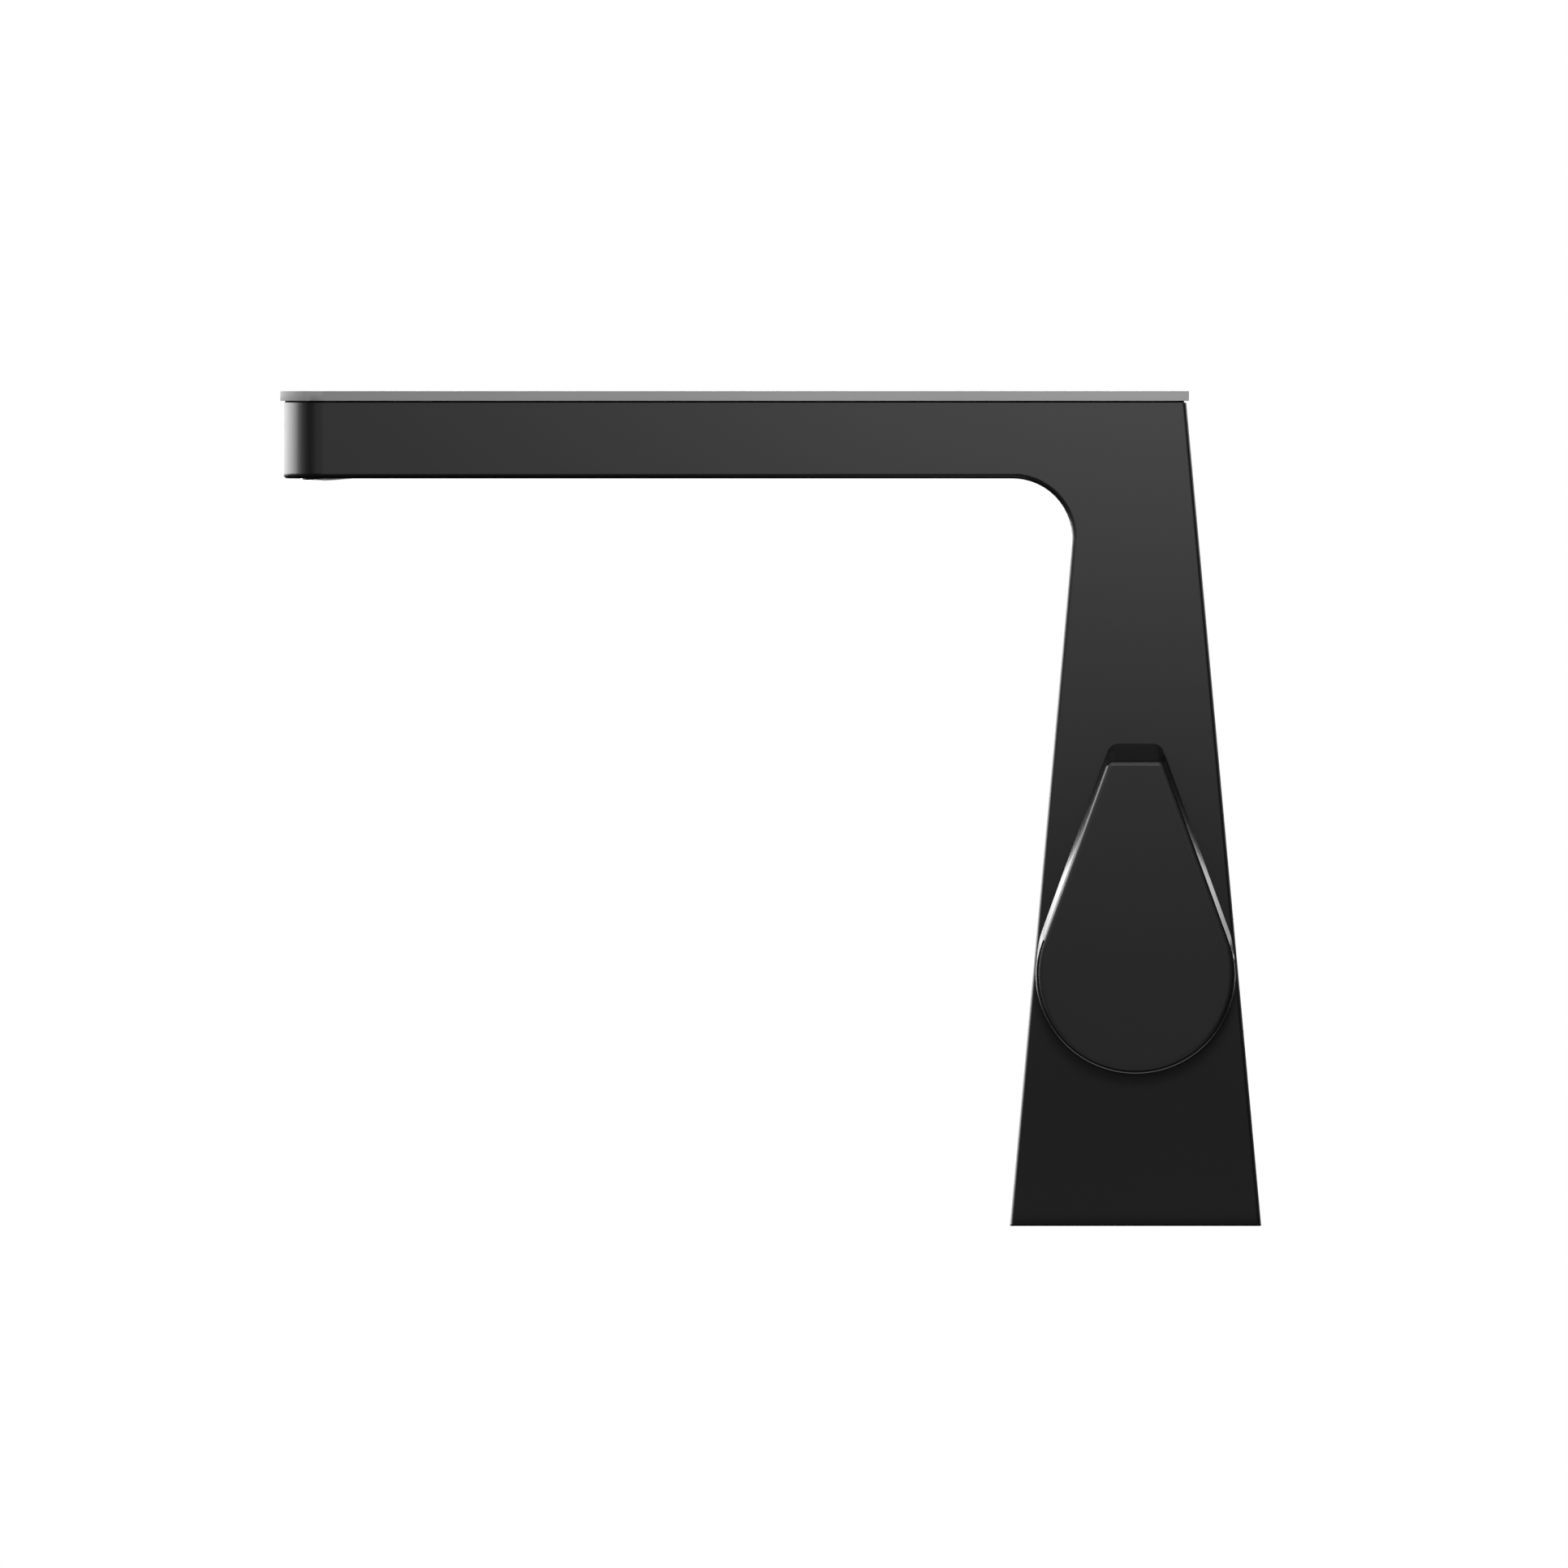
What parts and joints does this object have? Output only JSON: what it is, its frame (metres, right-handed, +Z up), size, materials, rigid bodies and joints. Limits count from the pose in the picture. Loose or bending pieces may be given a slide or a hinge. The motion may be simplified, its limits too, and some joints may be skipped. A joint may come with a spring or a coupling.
{
  "type": "bathroom mixer faucet",
  "caption": "Deck-mounted bathroom mixer with a tapered column, a long slim spout under a flat plate, a teardrop side lever and a tilting outlet.",
  "frame": {"origin": "middle of the foot on the deck plane, at the mouth of the fixing stud's thread", "axes": "+Z up, spout along -X, lever on the -Y face of the column"},
  "size_m": [0.2015, 0.0531, 0.1715],
  "materials": {
    "body_coating": "satin black coating",
    "lever_coating": "satin black coating",
    "plate_metal": "fine brushed grey",
    "outlet_metal": "polished",
    "outlet_plastic": "moulded, dark grey",
    "brass": "machined",
    "steel": "plain",
    "rubber": "matt black",
    "cartridge_plastic": "moulded, off-white",
    "disc_white": "lapped, white"
  },
  "bodies": {
    "body": {"mixer_body": "body_coating", "plate_gasket": "rubber", "top_plate": "plate_metal", "plate_pins": "steel", "base_insert": "brass", "base_screws": "steel", "base_seal": "rubber", "valve_block": "brass", "cold_inlet_tube": "steel", "hot_inlet_tube": "steel", "inlet_seals": "rubber", "spout_tube": "steel", "tube_seals": "rubber", "cartridge_housing": "cartridge_plastic", "disc_seal": "rubber", "fixed_disc": "disc_white", "cartridge_nut": "brass", "glide_ring": "cartridge_plastic", "aerator_housing": "outlet_plastic", "aerator_gasket": "rubber"},
    "lever": {"lever_carrier": "lever_coating", "lever_screw": "steel", "lever_cover": "lever_coating", "cartridge_stem": "brass", "stem_o_rings": "rubber", "thrust_washer": "cartridge_plastic", "moving_disc": "disc_white"},
    "nozzle": {"aerator_nozzle": "outlet_metal", "flow_straightener": "outlet_plastic", "aerator_screen": "steel"}
  },
  "joints": [
    {"name": "lever_turn", "type": "hinge", "parent": "body", "child": "lever", "pos_m": [0, -0.02329, 0.0518], "axis": [0, -0.9986, 0.0523], "range_deg": [0, 100]},
    {"name": "nozzle_tilt", "type": "hinge", "parent": "body", "child": "nozzle", "pos_m": [-0.163, 0, 0.1567], "axis": [0, 1, 0], "range_deg": [-3.5, 12.5]}
  ]
}
